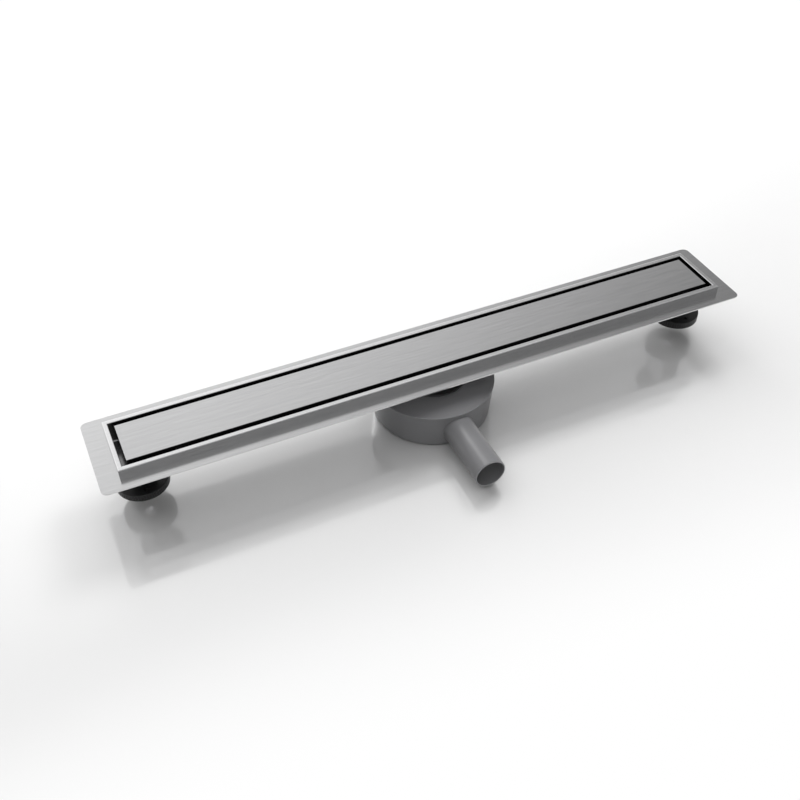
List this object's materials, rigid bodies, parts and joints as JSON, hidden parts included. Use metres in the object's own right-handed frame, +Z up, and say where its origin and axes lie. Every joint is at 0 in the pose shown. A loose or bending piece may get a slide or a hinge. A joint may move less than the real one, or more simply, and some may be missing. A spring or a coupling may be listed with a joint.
{
  "type": "linear shower drain",
  "caption": "Linear shower drain: folded stainless channel with wide flange, flush solid cover with a slot all round, flat swivelling trap with side outlet, and screw-adjustable feet.",
  "frame": {"origin": "centre of the trap's flat underside, on the axis that the trap swivels about", "axes": "+X along the channel to the right, +Y away from the outlet, +Z up; the outlet points to -Y at rest"},
  "size_m": [0.86, 0.2407, 0.0962],
  "materials": {
    "channel_steel": "folded stainless sheet, fine brush lines along the channel",
    "cover_steel": "stainless sheet, fine brush lines along the cover",
    "inner_steel": "plain stainless",
    "bracket_steel": "plain stainless sheet",
    "fastener_steel": "plain stainless",
    "seal_rubber": "soft matt rubber",
    "socket_plastic": "satin moulded plastic",
    "trap_plastic": "satin moulded plastic",
    "insert_plastic": "smooth moulded plastic",
    "saddle_plastic": "matt moulded plastic",
    "pad_plastic": "satin moulded plastic"
  },
  "bodies": {
    "channel": {"channel_body": "channel_steel", "cover_plate": "cover_steel", "clamp_ring": "inner_steel", "clamp_screws": "inner_steel", "hair_strainer": "inner_steel", "snap_ring": "inner_steel", "outlet_gasket": "seal_rubber", "swivel_o_ring": "seal_rubber", "dip_tube_o_ring": "seal_rubber", "swivel_socket": "socket_plastic", "dip_tube": "insert_plastic", "left_outer_saddle": "saddle_plastic", "left_inner_saddle": "saddle_plastic", "left_foot_bracket": "bracket_steel", "left_weld_nut": "fastener_steel", "left_lock_nut": "fastener_steel", "right_outer_saddle": "saddle_plastic", "right_inner_saddle": "saddle_plastic", "right_foot_bracket": "bracket_steel", "right_weld_nut": "fastener_steel", "right_lock_nut": "fastener_steel"},
    "trap": {"trap_bowl": "trap_plastic", "trap_lid": "trap_plastic", "seal_cup": "insert_plastic"},
    "left_pad": {"left_foot_pad": "pad_plastic"},
    "left_stud": {"left_foot_stud": "fastener_steel", "left_foot_clip": "fastener_steel"},
    "right_pad": {"right_foot_pad": "pad_plastic"},
    "right_stud": {"right_foot_stud": "fastener_steel", "right_foot_clip": "fastener_steel"}
  },
  "joints": [
    {"name": "trap_swivel", "type": "hinge", "parent": "channel", "child": "trap", "pos_m": [0, 0, 0], "axis": [0, 0, 1], "continuous": true},
    {"name": "left_foot_lift", "type": "slide", "parent": "channel", "child": "left_pad", "axis": [0, 0, -1], "range_m": [0, 0.01]},
    {"name": "left_stud_turn", "type": "hinge", "parent": "left_pad", "child": "left_stud", "pos_m": [-0.38, 0, 0.03629], "axis": [0, 0, -1], "range_deg": [0, 2880]},
    {"name": "right_foot_lift", "type": "slide", "parent": "channel", "child": "right_pad", "axis": [0, 0, -1], "range_m": [0, 0.01]},
    {"name": "right_stud_turn", "type": "hinge", "parent": "right_pad", "child": "right_stud", "pos_m": [0.38, 0, 0.03629], "axis": [0, 0, -1], "range_deg": [0, 2880]}
  ],
  "couplings": [
    {"joint": "left_stud_turn", "follows": "left_foot_lift", "rad_per_m": 5026.5},
    {"joint": "right_stud_turn", "follows": "right_foot_lift", "rad_per_m": 5026.5}
  ]
}
